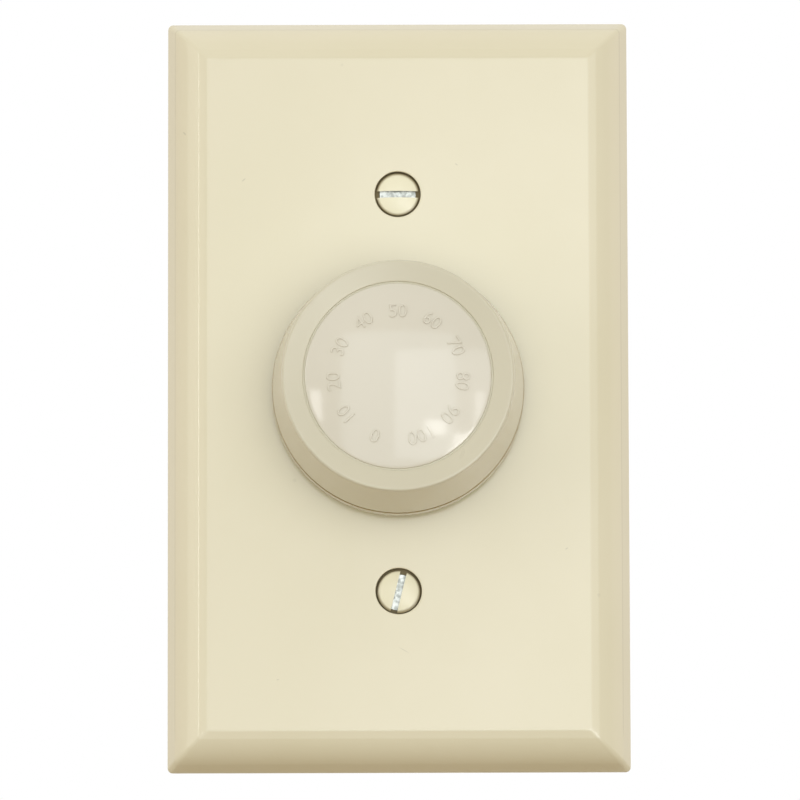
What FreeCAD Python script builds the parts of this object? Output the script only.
import FreeCAD, Part
import math
import os

import Sketcher
from FreeCAD import Placement, Rotation, Vector

# A rotary dimmer switch for a one-gang wall box, in millimetres. Every piece is drawn with the
# device lying on its back: X to the right, Y up the wall and Z out of the wall, with Z = 0 the
# wall plane. FACING then stands it up, so that the knob looks along -Y and +Z is up.

SIZES = {
    # wall plate: the edge rises as a drafted band, a curved bevel and a narrow strip to the face
    "plate_width": 69.85,
    "plate_height": 114.3,
    "plate_depth": 5.8,
    "plate_face_wall": 2.2,
    "plate_rim_wall": 2.0,
    "plate_band_height": 2.3,
    "plate_band_inset": 1.15,
    "plate_bevel_width": 6.06,
    "plate_bevel_radius": 7.5,
    "plate_strip_width": 1.3,
    "plate_strip_drop": 0.35,
    "plate_corner_radius": 0.8,
    "plate_hole_clearance": 0.7,
    "plate_boss_radius": 3.9,
    # plate screws and their wells
    "plate_screw_spacing": 60.325,
    "plate_screw_radius": 1.7,
    "plate_screw_length": 12.0,
    "plate_head_radius": 3.18,
    "plate_head_angle": 41.0,
    "plate_head_crown": 0.55,
    "plate_head_sink": 0.4,
    "plate_well_radius": 3.48,
    "plate_well_depth": 1.2,
    "plate_slot_depth": 1.1,
    "screw_slot_width": 1.0,
    "screw_slot_depth": 0.75,
    # mounting strap
    "strap_thickness": 1.6,
    "strap_width": 44.0,
    "strap_ear_width": 24.0,
    "strap_ear_margin": 6.8,
    "strap_ear_radius": 4.0,
    "strap_neck_radius": 2.0,
    "strap_overhang": 0.6,
    "strap_slot_length": 8.0,
    # screws that hold the strap to the wall box, with their retainers
    "box_screw_spacing": 83.34,
    "box_screw_radius": 1.75,
    "box_screw_neck_radius": 1.55,
    "box_screw_length": 22.0,
    "box_head_radius": 3.3,
    "box_head_height": 1.7,
    "retainer_width": 9.0,
    "retainer_thickness": 0.4,
    # housing behind the strap
    "housing_width": 43.0,
    "housing_height": 56.0,
    "housing_wall": 1.8,
    "housing_corner_radius": 3.0,
    "housing_back_radius": 1.2,
    "housing_boss_radius": 3.0,
    "housing_boss_inset": 2.5,
    "housing_rib_width": 2.0,
    "housing_rib_reach": 1.7,
    "housing_rib_offset": 15.0,
    "housing_relief": 0.8,
    "housing_screw_radius": 1.3,
    "housing_screw_length": 9.0,
    "housing_head_radius": 2.5,
    "housing_head_height": 1.5,
    "lead_hole_radius": 1.7,
    "lead_hole_offset": 8.0,
    "lead_hole_inset": 4.5,
    # control: threaded bushing, nut, case, wafer and rotor
    "bushing_radius": 4.76,
    "bushing_beyond_nut": 1.4,
    "flange_thickness": 1.2,
    "nut_flats": 14.0,
    "nut_thickness": 2.4,
    "nut_chamfer": 0.4,
    "washer_radius": 6.7,
    "washer_thickness": 0.6,
    "washer_notch_radius": 0.7,
    "tab_inset": 3.8,
    "tab_width": 2.4,
    "tab_depth": 1.2,
    "tab_clearance": 0.15,
    "case_radius": 12.0,
    "case_wall": 1.0,
    "case_shoulder": 3.0,
    "stop_width": 3.6,
    "stop_reach": 2.2,
    "wafer_thickness": 1.0,
    "wafer_tongue_width": 13.6,
    "wafer_tongue_reach": 2.6,
    "terminal_pitch": 5.0,
    "terminal_radius": 0.45,
    "terminal_head_radius": 1.0,
    "terminal_head_height": 0.5,
    "rotor_thickness": 2.6,
    "rotor_gap": 0.3,
    "lug_width": 3.0,
    "lug_height": 1.4,
    "lug_depth": 1.8,
    "wiper_space": 1.4,
    "wiper_thickness": 0.3,
    "wiper_width": 3.0,
    # shaft and its retaining ring
    "shaft_radius": 3.17,
    "shaft_tail_radius": 3.0,
    "shaft_tip_radius": 2.0,
    "shaft_tip_reach": 0.4,
    "shaft_flat": 2.2,
    "shaft_chamfer": 0.4,
    "ring_thickness": 0.7,
    "ring_play": 0.1,
    "ring_radius": 4.6,
    "ring_groove_radius": 2.4,
    "ring_mouth": 3.6,
    # knob and its clip
    "push_travel": 1.5,
    "push_clearance": 0.4,
    "knob_height": 18.3,
    "knob_base_radius": 19.0,
    "knob_rim_radius": 17.28,
    "knob_lip_height": 2.6,
    "knob_groove_width": 0.4,
    "knob_groove_depth": 0.35,
    "knob_wall": 1.8,
    "knob_edge_radius": 0.4,
    "rim_drop": 0.6,
    "dome_radius": 14.16,
    "dome_rise": 1.7,
    "dome_gap": 0.3,
    "dome_gap_depth": 0.35,
    "knob_roof": 2.0,
    "hub_radius": 5.6,
    "hub_bore_cover": 3.0,
    "knob_rib_count": 6,
    "knob_rib_width": 1.3,
    "knob_rib_setback": 4.0,
    "clip_thickness": 0.4,
    "clip_width": 3.4,
    "clip_length": 8.0,
    "clip_foot": 2.0,
    # circuit board and what it carries
    "board_thickness": 1.6,
    "board_clearance": 0.5,
    "lead_radius": 0.35,
    "lead_tail": 0.8,
    "lead_bend_radius": 0.8,
    "lead_hole_clearance": 0.15,
    "triac_width": 10.2,
    "triac_body_length": 9.2,
    "triac_tab_length": 6.2,
    "triac_body_thickness": 4.4,
    "triac_tab_thickness": 1.3,
    "triac_lead_pitch": 2.54,
    "triac_lead_reach": 2.0,
    "triac_pad_thickness": 0.25,
    "triac_pad_margin": 0.5,
    "rivet_radius": 1.6,
    "rivet_head_radius": 2.7,
    "rivet_head_height": 0.8,
    "choke_ring_radius": 4.6,
    "choke_core_radius": 2.3,
    "choke_winding_radius": 3.0,
    "choke_gap_angle": 70.0,
    "choke_inset": 1.0,
    "capacitor_length": 13.0,
    "capacitor_width": 6.0,
    "capacitor_height": 9.0,
    "capacitor_lead_pitch": 10.0,
    "capacitor_clearance": 0.95,
    "axial_offset": 10.2,
    "axial_inset": 6.5,
    "axial_lift": 1.5,
    "resistor_radius": 1.2,
    "resistor_length": 6.4,
    "resistor_lead_pitch": 9.2,
    "diac_radius": 1.0,
    "diac_length": 4.0,
    "diac_lead_pitch": 7.6,
    # push switch
    "switch_width": 18.0,
    "switch_height": 15.0,
    "switch_wall": 1.2,
    "switch_front_wall": 1.4,
    "switch_base_thickness": 1.4,
    "plunger_radius": 3.0,
    "plunger_flange_radius": 5.95,
    "plunger_flange_thickness": 1.1,
    "plunger_nose_radius": 1.2,
    "spring_length": 6.4,
    "spring_radius": 5.5,
    "spring_wire_radius": 0.3,
    "spring_turns": 4.0,
    "rocker_length": 8.8,
    "rocker_width": 3.6,
    "rocker_thickness": 0.5,
    "rocker_tilt": 8.0,
    "rocker_clearance": 0.2,
    "fulcrum_height": 1.9,
    "fulcrum_radius": 0.8,
    "contact_offset": 3.3,
    "contact_radius": 1.0,
    "contact_stem_radius": 0.6,
    "contact_tail": 1.2,
    "contact_room": 1.2,
    # fits
    "running_clearance": 0.05,
    "seat_clearance": 0.05,
}

# Heights above (+) and below (-) the wall plane, each from the one before it.
FACE = "Size.plate_depth"
PLATE_INSIDE = f"({FACE} - Size.plate_face_wall)"
STRAP_FRONT = "Size.strap_thickness"
WASHER_FRONT = f"({STRAP_FRONT} + Size.washer_thickness)"
NUT_FRONT = f"({WASHER_FRONT} + Size.nut_thickness)"
BUSHING_FRONT = f"({NUT_FRONT} + Size.bushing_beyond_nut)"
PUSH_ROOM = "(Size.push_travel + Size.push_clearance)"
HUB_REAR = f"({BUSHING_FRONT} + Size.clip_thickness + {PUSH_ROOM})"
KNOB_BASE = f"({FACE} + {PUSH_ROOM})"
KNOB_RIM = f"({KNOB_BASE} + Size.knob_height)"
DOME_EDGE = f"({KNOB_RIM} - Size.rim_drop)"
KNOB_CEILING = f"({DOME_EDGE} - Size.dome_gap_depth - Size.knob_roof)"
BORE_END = f"({DOME_EDGE} - Size.hub_bore_cover)"
SHAFT_END = f"({BORE_END} - Size.seat_clearance)"
FLANGE_REAR = "(-Size.flange_thickness)"
RING_FRONT = f"({FLANGE_REAR} - Size.running_clearance)"
RING_REAR = f"({RING_FRONT} - Size.ring_thickness)"
GROOVE_REAR = f"({RING_REAR} - Size.ring_play)"
ROTOR_FRONT = f"({GROOVE_REAR} - {PUSH_ROOM})"
ROTOR_REAR = f"({ROTOR_FRONT} - Size.rotor_thickness)"
WAFER_FRONT = f"({ROTOR_REAR} - Size.wiper_space)"
BOARD_FRONT = f"({WAFER_FRONT} - Size.wafer_thickness)"
BOARD_REAR = f"({BOARD_FRONT} - Size.board_thickness)"
SHAFT_SHOULDER = f"({ROTOR_REAR} - Size.push_clearance)"
SHAFT_TIP = f"({BOARD_FRONT} - Size.shaft_tip_reach)"
PLUNGER_FRONT = f"({SHAFT_TIP} - Size.running_clearance)"
SWITCH_INSIDE = f"({BOARD_REAR} - Size.switch_front_wall)"
PLUNGER_STOP = f"({SWITCH_INSIDE} - Size.running_clearance)"
SPRING_FRONT = f"({PLUNGER_STOP} - Size.plunger_flange_thickness)"
BASE_FRONT = f"({SPRING_FRONT} - Size.spring_length)"
BASE_REAR = f"({BASE_FRONT} - Size.switch_base_thickness)"
HOUSING_FLOOR = f"({BASE_REAR} - Size.contact_tail - Size.contact_room)"
HOUSING_REAR = f"({HOUSING_FLOOR} - Size.housing_wall)"

# Places across the device.
ROOM_X = "(Size.housing_width / 2 - Size.housing_wall)"
ROOM_Y = "(Size.housing_height / 2 - Size.housing_wall)"
BOARD_X = f"({ROOM_X} - Size.board_clearance)"
BOARD_Y = f"({ROOM_Y} - Size.board_clearance)"
BOSS_X = f"({ROOM_X} - Size.housing_boss_inset)"
BOSS_Y = f"({ROOM_Y} - Size.housing_boss_inset)"
SHAFT_BORE = "(Size.shaft_radius + Size.running_clearance)"
TAIL_BORE = "(Size.shaft_tail_radius + Size.running_clearance)"
SHAFT_PASSAGE = f"({TAIL_BORE} + Size.rotor_gap)"
CASE_INSIDE = "(Size.case_radius - Size.case_wall)"
SHOULDER_RADIUS = "(Size.case_radius - Size.case_shoulder)"
TERMINAL_Y = "(Size.case_radius + Size.wafer_tongue_reach / 2)"
TRIAC_Y = f"(({ROOM_Y} + Size.case_radius) / 2)"
TRIAC_LEAD_X = "(Size.triac_body_length + Size.triac_lead_reach)"
CHOKE_Y = f"(-({ROOM_Y} - Size.choke_inset - Size.choke_ring_radius - Size.choke_winding_radius))"
CHOKE_Z = f"({BOARD_REAR} - Size.choke_winding_radius - Size.seat_clearance)"
CAPACITOR_LOW = f"({TERMINAL_Y} + Size.terminal_radius + Size.capacitor_clearance)"
CAPACITOR_Y = f"({CAPACITOR_LOW} + Size.capacitor_width / 2)"
PIVOT = f"({BASE_FRONT} + Size.fulcrum_height)"
TILT_SLOPE = "tan(Size.rocker_tilt * 1deg)"

doc = FreeCAD.newDocument("rotary_dimmer")
sheet = doc.addObject("Spreadsheet::Sheet", "Size")
for row, (alias, size) in enumerate(SIZES.items(), start=1):
    sheet.set(f"A{row}", alias)
    sheet.set(f"B{row}", str(size))
    sheet.setAlias(f"B{row}", alias)
doc.recompute()

FACING = Placement(Vector(0, 0, 0), Rotation(Vector(1, 0, 0), 90))
pieces = []


def value(expression):
    return float(sheet.evalExpression(expression))


def minus(expression):
    return f"(-({expression}))"


def finished(piece, label, local=Placement()):
    """Names a piece, stands it up with the rest of the device and lists it for export."""
    piece.Label = label
    piece.Placement = FACING.multiply(local)
    pieces.append(piece)
    return piece


# Sketches: every point is held from the sketch's origin by sizes of the sheet.
def new_body(name):
    return doc.addObject("PartDesign::Body", name)


def sketch(body, role="XY_Plane", x="0", y="0", lift="0"):
    plane = next(f for f in body.Origin.OriginFeatures if f.Role == role)
    drawn = body.newObject("Sketcher::SketchObject", f"{body.Name}_sketch")
    drawn.AttachmentSupport = [(plane, "")]
    drawn.MapMode = "FlatFace"
    for axis, place in (("x", x), ("y", y), ("z", lift)):
        drawn.setExpression(f"AttachmentOffset.Base.{axis}", place)
    return drawn


def bind(drawn, constraint, expression):
    index = drawn.addConstraint(constraint)
    drawn.setExpression(f"Constraints[{index}]", expression)


def hold(drawn, geometry, point, x, y):
    bind(drawn, Sketcher.Constraint("DistanceX", -1, 1, geometry, point, value(x)), x)
    bind(drawn, Sketcher.Constraint("DistanceY", -1, 1, geometry, point, value(y)), y)


def arc_between(start, end, radius, left):
    """Short arc from start to end; it turns left (counter-clockwise) or right as it goes."""
    chord = end.sub(start)
    side = Vector(-chord.y, chord.x, 0).normalize()
    reach = math.sqrt(max(radius ** 2 - chord.Length ** 2 / 4, 0.0))
    centre = start.add(chord.multiply(0.5)).add(side.multiply(reach if left else -reach))
    first, last = (start, end) if left else (end, start)
    angles = [math.atan2(p.y - centre.y, p.x - centre.x) for p in (first, last)]
    if angles[1] < angles[0]:
        angles[1] += 2 * math.pi
    return Part.ArcOfCircle(Part.Circle(centre, Vector(0, 0, 1), radius), *angles)


def outline(drawn, corners, closed=True):
    """Outline or open path. A corner is (x, y), or (x, y, radius, left) with an arc to the next."""
    spots = [Vector(value(c[0]), value(c[1]), 0) for c in corners]
    ends = []
    for index, corner in enumerate(corners if closed else corners[:-1]):
        start = Vector(spots[index])
        end = Vector(spots[(index + 1) % len(spots)])
        if len(corner) == 2:
            ends.append((drawn.addGeometry(Part.LineSegment(start, end), False), 1, 2))
            continue
        radius, left = corner[2:]
        arc = drawn.addGeometry(arc_between(start, end, value(radius), left), False)
        bind(drawn, Sketcher.Constraint("Radius", arc, value(radius)), radius)
        ends.append((arc, 1, 2) if left else (arc, 2, 1))
    for index, (line, first, last) in enumerate(ends):
        hold(drawn, line, first, corners[index][0], corners[index][1])
        if closed or index + 1 < len(ends):
            following, joint, _ = ends[(index + 1) % len(ends)]
            drawn.addConstraint(Sketcher.Constraint("Coincident", line, last, following, joint))
        else:
            hold(drawn, line, last, corners[-1][0], corners[-1][1])
    return drawn


def rectangle(drawn, left, right, low, high):
    return outline(drawn, [(left, low), (right, low), (right, high), (left, high)])


def circle(drawn, x, y, radius):
    spot = Vector(value(x), value(y), 0)
    round_line = drawn.addGeometry(Part.Circle(spot, Vector(0, 0, 1), value(radius)), False)
    hold(drawn, round_line, 3, x, y)
    bind(drawn, Sketcher.Constraint("Radius", round_line, value(radius)), radius)
    return drawn


def d_outline(drawn, radius, flat):
    """Round outline with one flat, at the distance flat from the middle on the +X side."""
    edge = f"sqrt(({radius})^2 - ({flat})^2)"
    return outline(drawn, [
        (flat, minus(edge)),
        (flat, edge, radius, True),
        (minus(radius), "0", radius, True),
    ])


# Features.
def pad(body, drawn, length, both_ways=False):
    made = body.newObject("PartDesign::Pad", f"{body.Name}_pad")
    made.Profile = drawn
    made.setExpression("Length", length)
    if both_ways:
        made.SideType = "Symmetric"
    return made


def pocket(body, drawn, depth=None, upwards=False):
    """Cut from the sketch downwards (or upwards) to a depth, or right through both ways."""
    made = body.newObject("PartDesign::Pocket", f"{body.Name}_pocket")
    made.Profile = drawn
    made.Reversed = upwards
    if depth is None:
        made.Type = "ThroughAll"
        made.SideType = "Symmetric"
    else:
        made.setExpression("Length", depth)
    return made


def turn(body, drawn, cut=False, angle="360"):
    kind = "Groove" if cut else "Revolution"
    made = body.newObject(f"PartDesign::{kind}", f"{body.Name}_turned")
    made.Profile = drawn
    made.ReferenceAxis = (drawn, ["V_Axis"])
    made.setExpression("Angle", angle)
    return made


def around(body, feature, count):
    axis = next(f for f in body.Origin.OriginFeatures if f.Role == "Z_Axis")
    made = body.newObject("PartDesign::PolarPattern", f"{body.Name}_pattern")
    made.Originals = [feature]
    made.Axis = (axis, [""])
    made.Angle = 360.0
    made.setExpression("Occurrences", count)
    body.Tip = made
    return made


def fillet(body, feature, radius, wanted):
    """Rounds the edges of the feature for which wanted(edge) is true."""
    doc.recompute()
    names = [f"Edge{n}" for n, edge in enumerate(feature.Shape.Edges, start=1) if wanted(edge)]
    made = body.newObject("PartDesign::Fillet", f"{body.Name}_fillet")
    made.Base = (feature, names)
    made.setExpression("Radius", radius)
    return made


def upright(edge):
    first, last = edge.Vertexes[0].Point, edge.Vertexes[-1].Point
    return len(edge.Vertexes) == 2 and math.hypot(first.x - last.x, first.y - last.y) < 1e-6


def turned_body(name, corners):
    body = new_body(name)
    turn(body, outline(sketch(body, "XZ_Plane"), corners))
    return body


def block(name, left, right, low, high, rear, front):
    made = doc.addObject("Part::Box", name)
    ends = {"x": (left, right, "Length"), "y": (low, high, "Width"), "z": (rear, front, "Height")}
    for axis, (first, last, side) in ends.items():
        made.setExpression(side, f"({last}) - ({first})")
        made.setExpression(f"Placement.Base.{axis}", first)
    return made


def rod(name, radius, x, y, rear, front):
    made = doc.addObject("Part::Cylinder", name)
    made.setExpression("Radius", radius)
    made.setExpression("Height", f"({front}) - ({rear})")
    for axis, place in (("x", x), ("y", y), ("z", rear)):
        made.setExpression(f"Placement.Base.{axis}", place)
    return made


def cross_rod(name, radius, left, right, y, z):
    """Rod lying along X."""
    made = rod(name, radius, left, y, z, z)
    made.setExpression("Height", f"({right}) - ({left})")
    made.Placement.Rotation = Rotation(Vector(0, 1, 0), 90)
    return made


def bent_wire(name, y, path):
    """Round lead along an open path in the XZ plane at the place y; it starts along Z."""
    body = new_body(name)
    spine = outline(sketch(body, "XZ_Plane"), path, closed=False)
    section = circle(sketch(body, lift=path[0][1]), path[0][0], "0", "Size.lead_radius")
    made = body.newObject("PartDesign::AdditivePipe", f"{name}_pipe")
    made.Profile = section
    made.Spine = spine
    body.setExpression("Placement.Base.y", y)
    return body


def joined(name, members):
    made = doc.addObject("Part::MultiFuse", name)
    made.Shapes = members
    return made


def group(name, members):
    made = doc.addObject("Part::Compound", name)
    made.Links = members
    return made


# Wall plate: two edge profiles crossed so that the curved bevels meet in mitres, hollow behind.
def edge_profile(half):
    shoulder = f"({half} - Size.plate_bevel_width + Size.plate_strip_width)"
    band = f"({half} - Size.plate_band_inset)"
    ridge = f"({FACE} - Size.plate_strip_drop)"
    flat = f"({half} - Size.plate_bevel_width)"
    bevel = "Size.plate_bevel_radius"
    return [
        (minus(half), "0"),
        (half, "0"),
        (band, "Size.plate_band_height", bevel, True),
        (shoulder, ridge),
        (flat, FACE),
        (minus(flat), FACE),
        (minus(shoulder), ridge, bevel, True),
        (minus(band), "Size.plate_band_height"),
    ]


def wall_plate():
    half_x = "(Size.plate_width / 2)"
    half_y = "(Size.plate_height / 2)"
    margin = "1"
    body = new_body("wall_plate")
    pad(body, outline(sketch(body, "XZ_Plane"), edge_profile(half_x)), "Size.plate_height", True)

    along = sketch(body, "YZ_Plane")
    outer_y = f"({half_y} + {margin})"
    rectangle(along, minus(outer_y), outer_y, minus(margin), f"({FACE} + {margin})")
    outline(along, edge_profile(half_y))
    pocket(body, along)

    corners = sketch(body)
    outer_x = f"({half_x} + {margin})"
    rectangle(corners, minus(outer_x), outer_x, minus(outer_y), outer_y)
    rounding = "Size.plate_corner_radius"
    in_x = f"({half_x} - {rounding})"
    in_y = f"({half_y} - {rounding})"
    outline(corners, [
        (half_x, minus(in_y)),
        (half_x, in_y, rounding, True),
        (in_x, half_y),
        (minus(in_x), half_y, rounding, True),
        (minus(half_x), in_y),
        (minus(half_x), minus(in_y), rounding, True),
        (minus(in_x), minus(half_y)),
        (in_x, minus(half_y), rounding, True),
    ])
    pocket(body, corners)

    hollow = body.newObject("PartDesign::SubtractiveLoft", "wall_plate_hollow")
    sections = []
    for inset, lift in (("Size.plate_rim_wall", "0"), ("Size.plate_bevel_width", PLATE_INSIDE)):
        wide = f"({half_x} - {inset})"
        tall = f"({half_y} - {inset})"
        sections.append(rectangle(sketch(body, lift=lift), minus(wide), wide, minus(tall), tall))
    hollow.Profile = sections[0]
    hollow.Sections = sections[1:]
    hollow.Ruled = True

    opening = "(Size.nut_flats / sqrt(3) + Size.plate_hole_clearance)"
    pocket(body, circle(sketch(body), "0", "0", opening))

    for sign in ("", "-"):
        place = f"({sign}Size.plate_screw_spacing / 2)"
        boss = circle(sketch(body, lift=STRAP_FRONT), "0", place, "Size.plate_boss_radius")
        pad(body, boss, f"{PLATE_INSIDE} + Size.plate_face_wall / 2 - {STRAP_FRONT}")
        turn(body, outline(sketch(body, "YZ_Plane", x=place), well_profile()), cut=True)
    return finished(body, "wall_plate")


def head_seat():
    """Height of the screw head's rim when its cone rests in the well."""
    return f"({FACE} - Size.plate_head_sink - Size.seat_clearance)"


def well_profile():
    """A deep counterbore whose floor ends in the cone that carries the screw head."""
    throat = "(Size.plate_screw_radius + Size.seat_clearance * 2)"
    slope = "tan(Size.plate_head_angle * 1deg)"
    floor = f"({FACE} - Size.plate_well_depth)"
    mouth = f"(Size.plate_head_radius - ({head_seat()} - {floor}) * {slope})"
    return [
        ("0", "0"),
        (throat, "0"),
        (throat, f"({floor} - ({mouth} - {throat}) / {slope})"),
        (mouth, floor),
        ("Size.plate_well_radius", floor),
        ("Size.plate_well_radius", f"({FACE} + 1)"),
        ("0", f"({FACE} + 1)"),
    ]


def plate_screw_end():
    return f"({head_seat()} + Size.seat_clearance - Size.plate_screw_length)"


def plate_screws():
    made = []
    lift = f"({head_seat()} + Size.seat_clearance)"
    neck = "((Size.plate_head_radius - Size.plate_screw_radius) / tan(Size.plate_head_angle * 1deg))"
    crown = "((Size.plate_head_radius^2 + Size.plate_head_crown^2) / (2 * Size.plate_head_crown))"
    top = f"({lift} + Size.plate_head_crown)"
    end = plate_screw_end()
    for name, sign, lean in (("upper", "", 0.0), ("lower", "-", 76.0)):
        body = new_body(f"plate_screw_{name}")
        turn(body, outline(sketch(body, "XZ_Plane"), [
            ("0", end),
            ("(Size.plate_screw_radius - Size.shaft_chamfer)", end),
            ("Size.plate_screw_radius", f"({end} + Size.shaft_chamfer)"),
            ("Size.plate_screw_radius", f"({lift} - {neck})"),
            ("Size.plate_head_radius", lift, crown, True),
            ("0", top),
        ]))
        screw_slot(body, "Size.plate_head_radius", top, "Size.plate_slot_depth")
        body.Placement.Rotation = Rotation(Vector(0, 0, 1), lean)
        body.setExpression("Placement.Base.y", f"{sign}Size.plate_screw_spacing / 2")
        made.append(body)
    return finished(group("plate_screws", made), "plate_screws")


def screw_slot(body, radius, top, depth="Size.screw_slot_depth"):
    reach = f"({radius} + 1)"
    side = "(Size.screw_slot_width / 2)"
    drawn = rectangle(sketch(body, lift=top), minus(reach), reach, minus(side), side)
    pocket(body, drawn, depth)


# Mounting strap: a stamped plate whose two ears carry the wall-box slots and the plate screws.
def mounting_strap():
    body = new_body("mounting_strap")
    wide = "(Size.strap_width / 2)"
    ear = "(Size.strap_ear_width / 2)"
    shoulder = "(Size.housing_height / 2 + Size.strap_overhang)"
    tip = "(Size.box_screw_spacing / 2 + Size.strap_ear_margin)"
    blank = pad(body, outline(sketch(body), [
        (minus(ear), minus(tip)),
        (ear, minus(tip)),
        (ear, minus(shoulder)),
        (wide, minus(shoulder)),
        (wide, shoulder),
        (ear, shoulder),
        (ear, tip),
        (minus(ear), tip),
        (minus(ear), shoulder),
        (minus(wide), shoulder),
        (minus(wide), minus(shoulder)),
        (minus(ear), minus(shoulder)),
    ]), STRAP_FRONT)
    tip_size, wide_size = value(tip), value(wide)
    tips = fillet(body, blank, "Size.strap_ear_radius", lambda edge: upright(edge) and (
        abs(abs(edge.Vertexes[0].Y) - tip_size) < 1e-6))
    fillet(body, tips, "Size.strap_neck_radius", lambda edge: upright(edge) and (
        abs(edge.Vertexes[0].Y) < tip_size - 2 * value("Size.strap_ear_radius")))

    holes = sketch(body)
    circle(holes, "0", "0", "(Size.bushing_radius + Size.seat_clearance * 2)")
    for sign in ("", "-"):
        place = f"({sign}Size.plate_screw_spacing / 2)"
        circle(holes, "0", place, "(Size.plate_screw_radius + Size.seat_clearance)")
        slot_outline(holes, f"({sign}Size.box_screw_spacing / 2)")
        for side in ("", "-"):
            hole = "(Size.housing_screw_radius + Size.seat_clearance * 2)"
            circle(holes, f"({side}{BOSS_X})", f"({sign}{BOSS_Y})", hole)
    circle(holes, rivet_x(), TRIAC_Y, "(Size.rivet_radius + Size.seat_clearance)")
    side = "(Size.tab_width / 2 + Size.tab_clearance)"
    rectangle(holes, minus(side), side, f"({tab_low()} - Size.tab_clearance)",
              f"({tab_low()} + Size.tab_depth + Size.tab_clearance)")
    pocket(body, holes)
    return finished(body, "mounting_strap")


def slot_outline(drawn, y):
    radius = "(Size.box_screw_neck_radius + Size.tab_clearance * 3)"
    reach = f"(Size.strap_slot_length / 2 - {radius})"
    return outline(drawn, [
        (minus(reach), f"({y} - {radius})"),
        (reach, f"({y} - {radius})", radius, True),
        (f"({reach} + {radius})", y, radius, True),
        (reach, f"({y} + {radius})"),
        (minus(reach), f"({y} + {radius})", radius, True),
        (f"(-{reach} - {radius})", y, radius, True),
    ])


def tab_low():
    return "(Size.case_radius - Size.tab_inset - Size.tab_depth)"


def rivet_x():
    return "(Size.triac_tab_length / 2)"


def box_screws():
    """Screws to the wall box: an undercut neck in the strap's slot, then the full thread."""
    made = []
    neck_end = "(-Size.retainer_thickness - Size.seat_clearance)"
    end = f"({STRAP_FRONT} - Size.box_screw_length)"
    top = f"({STRAP_FRONT} + Size.box_head_height)"
    for name, sign in (("upper", ""), ("lower", "-")):
        body = new_body(f"box_screw_{name}")
        turn(body, outline(sketch(body, "XZ_Plane"), [
            ("0", end),
            ("(Size.box_screw_radius - Size.shaft_chamfer)", end),
            ("Size.box_screw_radius", f"({end} + Size.shaft_chamfer)"),
            ("Size.box_screw_radius", neck_end),
            ("Size.box_screw_neck_radius", neck_end),
            ("Size.box_screw_neck_radius", STRAP_FRONT),
            ("Size.box_head_radius", STRAP_FRONT),
            ("Size.box_head_radius", f"({top} - Size.nut_chamfer)"),
            ("(Size.box_head_radius - Size.nut_chamfer)", top),
            ("0", top),
        ]))
        screw_slot(body, "Size.box_head_radius", top)
        body.setExpression("Placement.Base.y", f"{sign}Size.box_screw_spacing / 2")
        made.append(body)
    return finished(group("box_screws", made), "box_screws")


def screw_retainers():
    """Square fibre washers that keep the wall-box screws captive behind the ears."""
    made = []
    side = "(Size.retainer_width / 2)"
    for name, sign in (("upper", ""), ("lower", "-")):
        body = new_body(f"screw_retainer_{name}")
        square = sketch(body, lift="-Size.retainer_thickness")
        rectangle(square, minus(side), side, minus(side), side)
        circle(square, "0", "0", "(Size.box_screw_neck_radius + Size.seat_clearance)")
        pad(body, square, "Size.retainer_thickness")
        body.setExpression("Placement.Base.y", f"{sign}Size.box_screw_spacing / 2")
        made.append(body)
    return finished(group("screw_retainers", made), "screw_retainers")


# Housing: an open moulded box with screw bosses in its corners, ribs under the board and a
# shallow relief in each end wall beside the tip of the plate screw.
def housing():
    body = new_body("housing")
    half_x = "(Size.housing_width / 2)"
    half_y = "(Size.housing_height / 2)"
    box = rectangle(sketch(body, lift=HOUSING_REAR), minus(half_x), half_x, minus(half_y), half_y)
    blank = pad(body, box, minus(HOUSING_REAR))
    sides = fillet(body, blank, "Size.housing_corner_radius", upright)
    rear = value(HOUSING_REAR)
    fillet(body, sides, "Size.housing_back_radius",
           lambda edge: edge.BoundBox.ZMax < rear + 1e-6)
    room = rectangle(sketch(body), minus(ROOM_X), ROOM_X, minus(ROOM_Y), ROOM_Y)
    pocket(body, room, minus(HOUSING_FLOOR))

    bosses = sketch(body, lift=HOUSING_FLOOR)
    bores = sketch(body)
    ribs = sketch(body, lift=HOUSING_FLOOR)
    leads = sketch(body)
    side = "(Size.housing_rib_width / 2)"
    for sign_x in ("", "-"):
        for sign_y in ("", "-"):
            x = f"({sign_x}{BOSS_X})"
            y = f"({sign_y}{BOSS_Y})"
            circle(bosses, x, y, "Size.housing_boss_radius")
            circle(bores, x, y, "(Size.housing_screw_radius + Size.seat_clearance)")
            near = f"({sign_x}({ROOM_X} - Size.housing_rib_reach))"
            far = f"({sign_x}({ROOM_X} + Size.housing_wall / 2))"
            middle = f"({sign_y}Size.housing_rib_offset)"
            rectangle(ribs, near, far, f"({middle} - {side})", f"({middle} + {side})")
        circle(leads, f"({sign_x}Size.lead_hole_offset)", f"(-{ROOM_Y} + Size.lead_hole_inset)",
               "Size.lead_hole_radius")
    pad(body, bosses, minus(HOUSING_FLOOR))
    pad(body, ribs, f"{BOARD_REAR} - {HOUSING_FLOOR}")
    pocket(body, bores, "Size.housing_screw_length")
    pocket(body, leads)
    reliefs = sketch(body)
    for sign in ("", "-"):
        circle(reliefs, "0", f"({sign}Size.plate_screw_spacing / 2)",
               "(Size.plate_screw_radius + Size.housing_relief)")
    pocket(body, reliefs, f"Size.housing_relief - {plate_screw_end()}")
    return finished(body, "housing")


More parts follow.
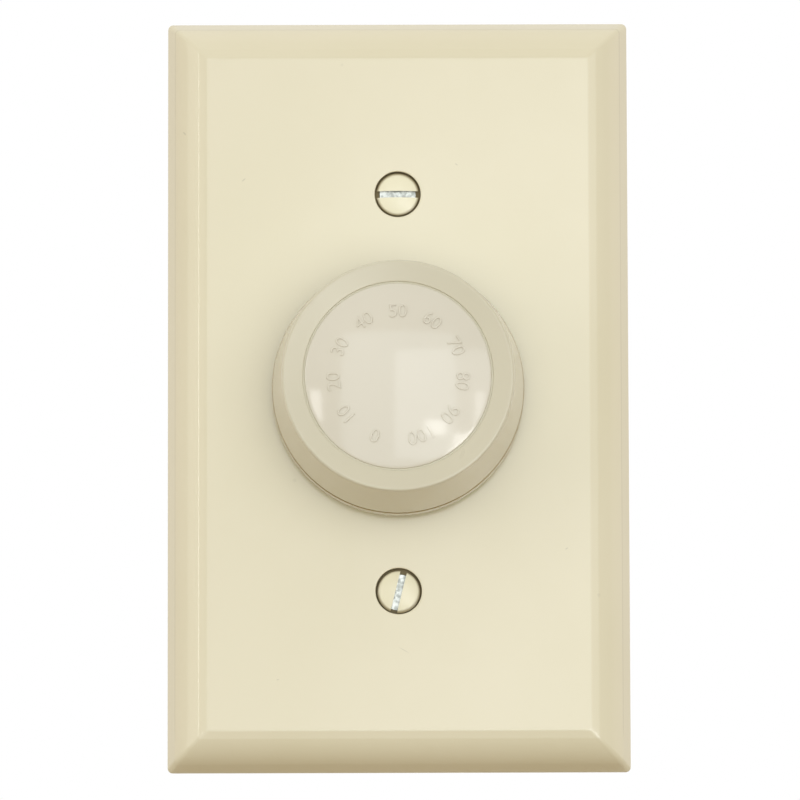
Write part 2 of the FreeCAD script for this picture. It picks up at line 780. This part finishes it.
def housing_screws():
    made = []
    top = f"({STRAP_FRONT} + Size.housing_head_height)"
    end = f"({STRAP_FRONT} - Size.housing_screw_length)"
    for sign_x in ("", "-"):
        for sign_y in ("", "-"):
            body = new_body("housing_screw")
            turn(body, outline(sketch(body, "XZ_Plane"), [
                ("0", end),
                ("Size.housing_screw_radius", f"({end} + Size.housing_screw_radius)"),
                ("Size.housing_screw_radius", STRAP_FRONT),
                ("Size.housing_head_radius", STRAP_FRONT),
                ("Size.housing_head_radius", f"({top} - Size.nut_chamfer)"),
                ("(Size.housing_head_radius - Size.nut_chamfer)", top),
                ("0", top),
            ]))
            screw_slot(body, "Size.housing_head_radius", top)
            body.setExpression("Placement.Base.x", f"{sign_x}{BOSS_X}")
            body.setExpression("Placement.Base.y", f"{sign_y}{BOSS_Y}")
            made.append(body)
    return finished(group("housing_screws", made), "housing_screws")


# Control: a threaded bushing holds the case to the strap; the rotor turns against a stop inside.
def control_bushing():
    body = turned_body("control_bushing", [
        (SHAFT_BORE, FLANGE_REAR),
        ("Size.case_radius", FLANGE_REAR),
        ("Size.case_radius", "0"),
        ("Size.bushing_radius", "0"),
        ("Size.bushing_radius", f"({BUSHING_FRONT} - Size.nut_chamfer)"),
        ("(Size.bushing_radius - Size.nut_chamfer)", BUSHING_FRONT),
        (SHAFT_BORE, BUSHING_FRONT),
    ])
    side = "(Size.tab_width / 2)"
    tab = sketch(body, lift=f"({FLANGE_REAR} / 2)")
    rectangle(tab, minus(side), side, tab_low(), f"({tab_low()} + Size.tab_depth)")
    pad(body, tab, f"{STRAP_FRONT} - Size.tab_clearance - {FLANGE_REAR} / 2")
    return finished(body, "control_bushing")


def lock_washer():
    body = new_body("lock_washer")
    ring = sketch(body, lift=STRAP_FRONT)
    circle(ring, "0", "0", "Size.washer_radius")
    circle(ring, "0", "0", "(Size.bushing_radius + Size.seat_clearance)")
    pad(body, ring, "Size.washer_thickness")
    notch = circle(sketch(body), "Size.washer_radius", "0", "Size.washer_notch_radius")
    around(body, pocket(body, notch), "12")
    return finished(body, "lock_washer")


def bushing_nut():
    body = new_body("bushing_nut")
    corner = "(Size.nut_flats / sqrt(3))"
    flats = [(f"({corner} * cos({60 * n}deg))", f"({corner} * sin({60 * n}deg))") for n in range(6)]
    pad(body, outline(sketch(body, lift=WASHER_FRONT), flats), "Size.nut_thickness")
    bore = circle(sketch(body), "0", "0", "(Size.bushing_radius + Size.seat_clearance)")
    pocket(body, bore)
    inner = "(Size.nut_flats / 2 - Size.nut_chamfer / 4)"
    turn(body, outline(sketch(body, "XZ_Plane"), [
        (inner, NUT_FRONT),
        (f"({corner} + 1)", f"({NUT_FRONT} - ({corner} + 1 - {inner}) * tan(30deg))"),
        (f"({corner} + 1)", f"({NUT_FRONT} + 1)"),
        (inner, f"({NUT_FRONT} + 1)"),
    ]), cut=True)
    return finished(body, "bushing_nut")


def control_case():
    shoulder = f"({ROTOR_FRONT} + Size.seat_clearance * 2)"
    body = turned_body("control_case", [
        (CASE_INSIDE, BOARD_FRONT),
        ("Size.case_radius", BOARD_FRONT),
        ("Size.case_radius", FLANGE_REAR),
        (SHOULDER_RADIUS, FLANGE_REAR),
        (SHOULDER_RADIUS, shoulder),
        (CASE_INSIDE, shoulder),
    ])
    half = "(Size.stop_width / 2)"
    stop = sketch(body, lift=f"({ROTOR_FRONT} + Size.rotor_gap)")
    rectangle(stop, minus(half), half, f"(-{SHOULDER_RADIUS} - Size.case_wall)",
              f"(-{SHOULDER_RADIUS} + Size.stop_reach)")
    pad(body, stop, f"{FLANGE_REAR} - {ROTOR_FRONT} - Size.rotor_gap")
    wide = "(Size.wafer_tongue_width / 2 + Size.tab_clearance)"
    mouth = sketch(body, lift=f"({WAFER_FRONT} + Size.seat_clearance)")
    rectangle(mouth, minus(wide), wide, "(Size.case_radius / 2)", "(Size.case_radius + 1)")
    pocket(body, mouth, "Size.wafer_thickness + 1")
    return finished(body, "control_case")


def track_wafer():
    body = new_body("track_wafer")
    disc = circle(sketch(body, lift=BOARD_FRONT), "0", "0", f"({CASE_INSIDE} - Size.seat_clearance)")
    pad(body, disc, "Size.wafer_thickness")
    wide = "(Size.wafer_tongue_width / 2)"
    tongue = sketch(body, lift=BOARD_FRONT)
    rectangle(tongue, minus(wide), wide, "(Size.case_radius / 2 + 1)",
              "(Size.case_radius + Size.wafer_tongue_reach)")
    pad(body, tongue, "Size.wafer_thickness")
    holes = circle(sketch(body), "0", "0", SHAFT_PASSAGE)
    for place in terminal_places():
        circle(holes, place, TERMINAL_Y, "(Size.terminal_radius + Size.seat_clearance)")
    pocket(body, holes)
    return finished(body, "track_wafer")


def terminal_places():
    return ("(-Size.terminal_pitch)", "0", "Size.terminal_pitch")


def control_terminals():
    made = []
    end = f"({BOARD_REAR} - Size.lead_tail)"
    top = f"({WAFER_FRONT} + Size.terminal_head_height)"
    for place in terminal_places():
        body = turned_body("control_terminal", [
            ("0", end),
            ("Size.terminal_radius", end),
            ("Size.terminal_radius", WAFER_FRONT),
            ("Size.terminal_head_radius", WAFER_FRONT),
            ("Size.terminal_head_radius", top),
            ("0", top),
        ])
        body.setExpression("Placement.Base.x", place)
        body.setExpression("Placement.Base.y", TERMINAL_Y)
        made.append(body)
    return finished(group("control_terminals", made), "control_terminals")


def rotor():
    body = new_body("rotor")
    disc = circle(sketch(body, lift=ROTOR_REAR), "0", "0", f"({CASE_INSIDE} - Size.rotor_gap)")
    pad(body, disc, "Size.rotor_thickness")
    half = "(Size.lug_width / 2)"
    outer = f"({SHOULDER_RADIUS} - Size.rotor_gap)"
    lug = sketch(body, lift=ROTOR_FRONT)
    rectangle(lug, minus(half), half, f"({outer} - Size.lug_depth)", f"sqrt({outer}^2 - {half}^2)")
    pad(body, lug, "Size.lug_height")
    bore = sketch(body)
    pocket(body, d_outline(bore, TAIL_BORE, "(Size.shaft_flat + Size.running_clearance)"))
    return finished(body, "rotor")


def wiper():
    """Contact leaf on the rotor's rear face; its end bends back to ride on the wafer's track."""
    body = new_body("wiper")
    leaf = "Size.wiper_thickness"
    flat = f"({ROTOR_REAR} - {leaf})"
    track = f"({WAFER_FRONT} + Size.seat_clearance)"
    start = f"({SHAFT_PASSAGE} + 1)"
    bend = f"({start} + Size.wiper_width)"
    reach = f"({CASE_INSIDE} - Size.rotor_gap * 3)"
    strip = outline(sketch(body, "YZ_Plane"), [
        (start, ROTOR_REAR),
        (start, flat),
        (bend, flat),
        (f"({reach} - {leaf})", track),
        (reach, track),
        (reach, f"({track} + {leaf})"),
        (f"({bend} + {leaf})", ROTOR_REAR),
    ])
    pad(body, strip, "Size.wiper_width", True)
    return finished(body, "wiper")


# Shaft: flatted for the knob in front and for the rotor behind, so that it can slide in both.
def shaft():
    chamfered = "(Size.shaft_radius - Size.shaft_chamfer)"
    body = turned_body("shaft", [
        ("0", SHAFT_TIP),
        ("Size.shaft_tip_radius", SHAFT_TIP),
        ("Size.shaft_tip_radius", SHAFT_SHOULDER),
        ("Size.shaft_tail_radius", SHAFT_SHOULDER),
        ("Size.shaft_tail_radius", GROOVE_REAR),
        ("Size.ring_groove_radius", GROOVE_REAR),
        ("Size.ring_groove_radius", RING_FRONT),
        ("Size.shaft_radius", RING_FRONT),
        ("Size.shaft_radius", f"({SHAFT_END} - Size.shaft_chamfer)"),
        (chamfered, SHAFT_END),
        ("0", SHAFT_END),
    ])
    reach = "(Size.shaft_radius + 1)"
    for top, depth in (
        (SHAFT_END, f"{SHAFT_END} - {HUB_REAR} + Size.clip_thickness + Size.push_clearance"),
        (GROOVE_REAR, f"{GROOVE_REAR} - {SHAFT_SHOULDER}"),
    ):
        drawn = sketch(body, lift=top)
        rectangle(drawn, "Size.shaft_flat", reach, minus(reach), reach)
        pocket(body, drawn, depth)
    return finished(body, "shaft")


def shaft_ring():
    body = new_body("shaft_ring")
    ring = sketch(body, lift=RING_REAR)
    circle(ring, "0", "0", "Size.ring_radius")
    circle(ring, "0", "0", "(Size.ring_groove_radius + Size.seat_clearance)")
    pad(body, ring, "Size.ring_thickness")
    half = "(Size.ring_mouth / 2)"
    pocket(body, rectangle(sketch(body), "0", "(Size.ring_radius + 1)", minus(half), half))
    return finished(body, "shaft_ring")


# Knob: a tapered shell with a lip at its base and a domed face inside a sloping rim.
def knob():
    lip_top = f"({KNOB_BASE} + Size.knob_lip_height)"
    wall_start = f"({lip_top} + Size.knob_groove_width)"
    groove = "(Size.knob_base_radius - Size.knob_groove_depth)"
    dome_foot = "(Size.dome_radius - Size.dome_gap)"
    gap_floor = f"({DOME_EDGE} - Size.dome_gap_depth)"
    dome_curve = f"(({dome_foot}^2 + Size.dome_rise^2) / (2 * Size.dome_rise))"
    body = turned_body("knob", [
        ("(Size.knob_base_radius - Size.knob_wall)", KNOB_BASE),
        ("Size.knob_base_radius", KNOB_BASE),
        ("Size.knob_base_radius", lip_top),
        (groove, lip_top),
        (groove, wall_start),
        ("(Size.knob_base_radius - Size.knob_groove_depth / 3)", wall_start),
        ("Size.knob_rim_radius", KNOB_RIM),
        ("Size.dome_radius", DOME_EDGE),
        ("Size.dome_radius", gap_floor),
        (dome_foot, gap_floor),
        (dome_foot, DOME_EDGE, dome_curve, True),
        ("0", f"({DOME_EDGE} + Size.dome_rise)"),
        ("0", KNOB_CEILING),
        ("(Size.knob_rim_radius - Size.knob_wall)", KNOB_CEILING),
    ])
    hub = circle(sketch(body, lift=HUB_REAR), "0", "0", "Size.hub_radius")
    pad(body, hub, f"{KNOB_CEILING} + Size.knob_roof / 2 - {HUB_REAR}")
    side = "(Size.knob_rib_width / 2)"
    rib_rear = f"({KNOB_BASE} + Size.knob_rib_setback)"
    rib = sketch(body, lift=rib_rear)
    rectangle(rib, "(Size.hub_radius - 1)", "(Size.knob_rim_radius - Size.knob_wall / 2)",
              minus(side), side)
    first_rib = pad(body, rib, f"{KNOB_CEILING} + Size.knob_roof / 2 - {rib_rear}")
    ribs = around(body, first_rib, "Size.knob_rib_count")
    bore = d_outline(sketch(body, lift=HUB_REAR), SHAFT_BORE, clip_seat())
    bored = pocket(body, bore, f"{BORE_END} - {HUB_REAR}", upwards=True)
    rim, rim_radius = value(KNOB_RIM), value("Size.knob_rim_radius")
    fillet(body, bored, "Size.knob_edge_radius", lambda edge: (
        abs(edge.BoundBox.ZMin - rim) < 1e-6 and abs(edge.BoundBox.XMax - rim_radius) < 1e-3))
    assert ribs.Shape.Volume > first_rib.Shape.Volume
    return finished(body, "knob")


def clip_seat():
    """Flat of the knob's bore: the shaft's flat with the clip between them."""
    return "(Size.shaft_flat + Size.clip_thickness + Size.seat_clearance * 2)"


def knob_clip():
    """Spring leaf between the two flats, with a foot under the end of the hub."""
    body = new_body("knob_clip")
    inner = "(Size.shaft_flat + Size.seat_clearance)"
    outer = f"({inner} + Size.clip_thickness)"
    foot = f"({HUB_REAR} - Size.clip_thickness)"
    leaf = outline(sketch(body, "XZ_Plane"), [
        (inner, foot),
        (f"({outer} + Size.clip_foot)", foot),
        (f"({outer} + Size.clip_foot)", HUB_REAR),
        (outer, HUB_REAR),
        (outer, f"({HUB_REAR} + Size.clip_length)"),
        (inner, f"({HUB_REAR} + Size.clip_length)"),
    ])
    pad(body, leaf, "Size.clip_width", True)
    return finished(body, "knob_clip")


# Circuit board with a hole for every lead, and the parts soldered to it.
def lead_places():
    """Radius of each round lead through the board and where it stands."""
    lead = "Size.lead_radius"
    places = [("Size.terminal_radius", x, TERMINAL_Y) for x in terminal_places()]
    for step in ("-1", "0", "1"):
        y = f"({TRIAC_Y} + Size.triac_lead_pitch * {step})"
        places.append((lead, minus(TRIAC_LEAD_X), y))
    for sign in ("", "-"):
        places.append((lead, *choke_lead(sign)))
        places.append((lead, f"({sign}Size.capacitor_lead_pitch / 2)", CAPACITOR_Y))
        places.append((lead, *axial_lead("-", "Size.resistor_lead_pitch", sign)))
        places.append((lead, *axial_lead("", "Size.diac_lead_pitch", sign)))
    return places


def axial_middle(side):
    return f"({side}({BOARD_X} - Size.axial_inset))"


def axial_lead(side, pitch, sign):
    return f"({axial_middle(side)} + ({sign}{pitch} / 2))", "Size.axial_offset"


def choke_lead(sign):
    """Lead at one end of the winding, beside the gap, on the outside of the ring."""
    radius = "(Size.choke_ring_radius + Size.choke_winding_radius)"
    angle = "((Size.choke_gap_angle / 2 + 4) * 1deg)"
    return f"({sign}{radius} * sin({angle}))", f"({CHOKE_Y} - {radius} * cos({angle}))"


def circuit_board():
    body = new_body("circuit_board")
    sheet_outline = sketch(body, lift=BOARD_REAR)
    rectangle(sheet_outline, minus(BOARD_X), BOARD_X, minus(BOARD_Y), BOARD_Y)
    pad(body, sheet_outline, "Size.board_thickness")
    corners = sketch(body)
    clear = "(Size.housing_boss_radius + Size.board_clearance)"
    for sign_x in ("", "-"):
        for sign_y in ("", "-"):
            circle(corners, f"({sign_x}{BOSS_X})", f"({sign_y}{BOSS_Y})", clear)
    pocket(body, corners)
    holes = circle(sketch(body), "0", "0", SHAFT_PASSAGE)
    for radius, x, y in lead_places():
        circle(holes, x, y, f"({radius} + Size.lead_hole_clearance)")
    pocket(body, holes)
    return finished(body, "circuit_board")


def board_lead(name, x, y, rear):
    return rod(name, "Size.lead_radius", x, y, rear, f"({BOARD_FRONT} + Size.lead_tail)")


def triac():
    left = "(-Size.triac_body_length)"
    low = f"({TRIAC_Y} - Size.triac_width / 2)"
    high = f"({TRIAC_Y} + Size.triac_width / 2)"
    back = "(-Size.triac_pad_thickness)"
    moulding = block("triac_moulding", left, "0", low, high,
                     f"({back} - Size.triac_body_thickness)", back)
    tab = block("triac_tab", left, "Size.triac_tab_length", low, high,
                f"({back} - Size.triac_tab_thickness)", back)
    hole = rod("triac_hole", "(Size.rivet_radius + Size.seat_clearance)", rivet_x(), TRIAC_Y,
               f"({back} - Size.triac_body_thickness)", "1")
    level = f"({back} - Size.triac_body_thickness / 2)"
    pin = minus(TRIAC_LEAD_X)
    bend = "Size.lead_bend_radius"
    leg = [
        (pin, f"({BOARD_REAR} - Size.lead_tail)"),
        (pin, f"({level} - {bend})", bend, False),
        (f"({pin} + {bend})", level),
        (f"({left} + 1)", level),
    ]
    legs = [bent_wire("triac_leg", f"({TRIAC_Y} + Size.triac_lead_pitch * {step})", leg)
            for step in ("-1", "0", "1")]
    drilled = doc.addObject("Part::Cut", "triac_drilled")
    drilled.Base = joined("triac_blank", [moulding, tab] + legs)
    drilled.Tool = hole
    return finished(drilled, "triac")


def triac_pad():
    """Insulating sheet between the triac's tab and the strap."""
    margin = "Size.triac_pad_margin"
    sheet_body = block("triac_sheet", f"(-Size.triac_body_length - {margin})",
                       f"(Size.triac_tab_length + {margin})",
                       f"({TRIAC_Y} - Size.triac_width / 2 - {margin})",
                       f"({TRIAC_Y} + Size.triac_width / 2 + {margin})",
                       "(-Size.triac_pad_thickness)", "0")
    hole = rod("triac_sheet_hole", "(Size.rivet_radius + Size.seat_clearance)", rivet_x(), TRIAC_Y,
               "-1", "1")
    pierced = doc.addObject("Part::Cut", "triac_pad_pierced")
    pierced.Base = sheet_body
    pierced.Tool = hole
    return finished(pierced, "triac_pad")


def triac_rivet():
    back = "(-Size.triac_pad_thickness - Size.triac_tab_thickness)"
    body = turned_body("triac_rivet", [
        ("0", f"({back} - Size.rivet_head_height)"),
        ("Size.rivet_head_radius", f"({back} - Size.rivet_head_height)"),
        ("Size.rivet_head_radius", back),
        ("Size.rivet_radius", back),
        ("Size.rivet_radius", STRAP_FRONT),
        ("Size.rivet_head_radius", STRAP_FRONT),
        ("Size.rivet_head_radius", f"({STRAP_FRONT} + Size.rivet_head_height)"),
        ("0", f"({STRAP_FRONT} + Size.rivet_head_height)"),
    ])
    spot = Vector(value(rivet_x()), value(TRIAC_Y), 0)
    return finished(body, "triac_rivet", Placement(spot, Rotation()))


def choke_core():
    core = doc.addObject("Part::Torus", "choke_ring")
    core.setExpression("Radius1", "Size.choke_ring_radius")
    core.setExpression("Radius2", "Size.choke_core_radius")
    spot = Vector(0, value(CHOKE_Y), value(CHOKE_Z))
    return finished(core, "choke_core", Placement(spot, Rotation()))


def choke_winding():
    """Wound sleeve round the ring, open over the gap angle, with its two leads to the board."""
    body = new_body("choke_sleeve")
    section = sketch(body, "XZ_Plane")
    circle(section, "Size.choke_ring_radius", "0", "Size.choke_winding_radius")
    circle(section, "Size.choke_ring_radius", "0", "(Size.choke_core_radius + Size.seat_clearance)")
    turn(body, section, angle="360 - Size.choke_gap_angle")
    body.setExpression("Placement.Base.y", CHOKE_Y)
    body.setExpression("Placement.Base.z", CHOKE_Z)
    body.Placement.Rotation = Rotation(Vector(0, 0, 1), value("Size.choke_gap_angle / 2 - 90"))
    leads = [board_lead("choke_lead", *choke_lead(sign), CHOKE_Z) for sign in ("", "-")]
    return finished(joined("choke_wound", [body] + leads), "choke_winding")


def capacitor():
    half = "(Size.capacitor_length / 2)"
    case = block("capacitor_case", minus(half), half, f"({CAPACITOR_Y} - Size.capacitor_width / 2)",
                 f"({CAPACITOR_Y} + Size.capacitor_width / 2)",
                 f"({BOARD_REAR} - Size.capacitor_height)", BOARD_REAR)
    leads = [board_lead("capacitor_lead", f"({sign}Size.capacitor_lead_pitch / 2)", CAPACITOR_Y,
                        f"({BOARD_REAR} - 1)") for sign in ("", "-")]
    return finished(joined("capacitor_leaded", [case] + leads), "capacitor")


def axial_part(label, side, radius, length, pitch):
    """Cylinder lying along X behind the board, on a lead bent through the board at both ends."""
    middle = axial_middle(side)
    level = f"({BOARD_REAR} - Size.axial_lift)"
    y = "Size.axial_offset"
    body = cross_rod(f"{label}_body", radius, f"({middle} - {length} / 2)",
                     f"({middle} + {length} / 2)", y, level)
    front = f"({BOARD_FRONT} + Size.lead_tail)"
    bend = "Size.lead_bend_radius"
    left, right = (f"({middle} {sign} {pitch} / 2)" for sign in "-+")
    wire = bent_wire(f"{label}_wire", y, [
        (left, front),
        (left, f"({level} + {bend})", bend, True),
        (f"({left} + {bend})", level),
        (f"({right} - {bend})", level, bend, True),
        (right, f"({level} + {bend})"),
        (right, front),
    ])
    return finished(joined(f"{label}_leaded", [body, wire]), label)


# Push switch: the shaft's tip drives the plunger against its spring, above a tipping rocker.
def switch_body():
    body = new_body("switch_body")
    half_x = "(Size.switch_width / 2)"
    half_y = "(Size.switch_height / 2)"
    shell = rectangle(sketch(body, lift=BASE_FRONT), minus(half_x), half_x, minus(half_y), half_y)
    pad(body, shell, f"{BOARD_REAR} - {BASE_FRONT}")
    in_x = f"({half_x} - Size.switch_wall)"
    in_y = f"({half_y} - Size.switch_wall)"
    room = rectangle(sketch(body, lift=SWITCH_INSIDE), minus(in_x), in_x, minus(in_y), in_y)
    pocket(body, room, f"{SWITCH_INSIDE} - {BASE_FRONT} + 1")
    bore = circle(sketch(body), "0", "0", "(Size.plunger_radius + Size.running_clearance)")
    pocket(body, bore)
    return finished(body, "switch_body")


def contact_places():
    return ("(-Size.contact_offset)", "0", "Size.contact_offset")


def switch_base():
    body = new_body("switch_base")
    half_x = "(Size.switch_width / 2)"
    half_y = "(Size.switch_height / 2)"
    plate = rectangle(sketch(body, lift=BASE_REAR), minus(half_x), half_x, minus(half_y), half_y)
    for place in contact_places():
        circle(plate, place, "0", "(Size.contact_stem_radius + Size.seat_clearance)")
    pad(body, plate, "Size.switch_base_thickness")
    return finished(body, "switch_base")


def switch_contacts():
    """Two contact studs and, between them, the taller post that the rocker tips on."""
    made = []
    fall = f"({TILT_SLOPE} * (Size.contact_offset + Size.contact_radius))"
    top = f"({PIVOT} - {fall})"
    end = f"({BASE_REAR} - Size.contact_tail)"
    for place in contact_places():
        post = place == "0"
        radius = "Size.fulcrum_radius" if post else "Size.contact_radius"
        head = PIVOT if post else top
        body = turned_body("switch_contact", [
            ("0", end),
            ("Size.contact_stem_radius", end),
            ("Size.contact_stem_radius", BASE_FRONT),
            (radius, BASE_FRONT),
            (radius, head),
            ("0", head),
        ])
        body.setExpression("Placement.Base.x", place)
        made.append(body)
    return finished(group("switch_contacts", made), "switch_contacts")


def switch_rocker():
    body = new_body("switch_rocker")
    half_x = "(Size.rocker_length / 2)"
    half_y = "(Size.rocker_width / 2)"
    strip = rectangle(sketch(body, lift="Size.rocker_clearance"), minus(half_x), half_x,
                      minus(half_y), half_y)
    pad(body, strip, "Size.rocker_thickness")
    lean = Rotation(Vector(0, 1, 0), value("Size.rocker_tilt"))
    return finished(body, "switch_rocker", Placement(Vector(0, 0, value(PIVOT)), lean))


def switch_plunger():
    rocker_top = f"({PIVOT} + Size.rocker_clearance + Size.rocker_thickness)"
    rise = f"({TILT_SLOPE} * Size.plunger_nose_radius)"
    nose = f"({rocker_top} + {rise} + {PUSH_ROOM})"
    body = turned_body("switch_plunger", [
        ("0", nose),
        ("Size.plunger_nose_radius", nose),
        ("Size.plunger_nose_radius", SPRING_FRONT),
        ("Size.plunger_flange_radius", SPRING_FRONT),
        ("Size.plunger_flange_radius", PLUNGER_STOP),
        ("Size.plunger_radius", PLUNGER_STOP),
        ("Size.plunger_radius", PLUNGER_FRONT),
        ("0", PLUNGER_FRONT),
    ])
    return finished(body, "switch_plunger")


def plunger_spring():
    body = new_body("plunger_spring")
    wire = "(Size.spring_wire_radius + Size.seat_clearance)"
    section = sketch(body, "XZ_Plane", y=f"({BASE_FRONT} + {wire})")
    circle(section, "Size.spring_radius", "0", "Size.spring_wire_radius")
    coil = body.newObject("PartDesign::AdditiveHelix", "plunger_coil")
    coil.Profile = section
    coil.ReferenceAxis = (section, ["V_Axis"])
    coil.Mode = "height-turns-angle"
    coil.setExpression("Height", f"Size.spring_length - 2 * {wire}")
    coil.setExpression("Turns", "Size.spring_turns")
    return finished(body, "plunger_spring")


wall_plate()
plate_screws()
mounting_strap()
box_screws()
screw_retainers()
housing()
housing_screws()
control_bushing()
lock_washer()
bushing_nut()
control_case()
track_wafer()
control_terminals()
rotor()
wiper()
shaft()
shaft_ring()
knob()
knob_clip()
circuit_board()
triac()
triac_pad()
triac_rivet()
choke_core()
choke_winding()
capacitor()
axial_part("resistor", "-", "Size.resistor_radius", "Size.resistor_length",
           "Size.resistor_lead_pitch")
axial_part("diac", "", "Size.diac_radius", "Size.diac_length", "Size.diac_lead_pitch")
switch_body()
switch_base()
switch_contacts()
switch_rocker()
switch_plunger()
plunger_spring()
doc.recompute()

for item in doc.Objects:
    assert not {"Invalid", "Error"} & set(item.State), f"{item.Label}: {item.State}"

os.makedirs("parts", exist_ok=True)
for piece in pieces:
    assert not piece.Shape.isNull() and piece.Shape.isValid(), piece.Label
    piece.Shape.exportStep(f"parts/{piece.Label}.step")
    print(piece.Label, len(piece.Shape.Solids), "solid(s)", round(piece.Shape.Volume, 2), "mm3")
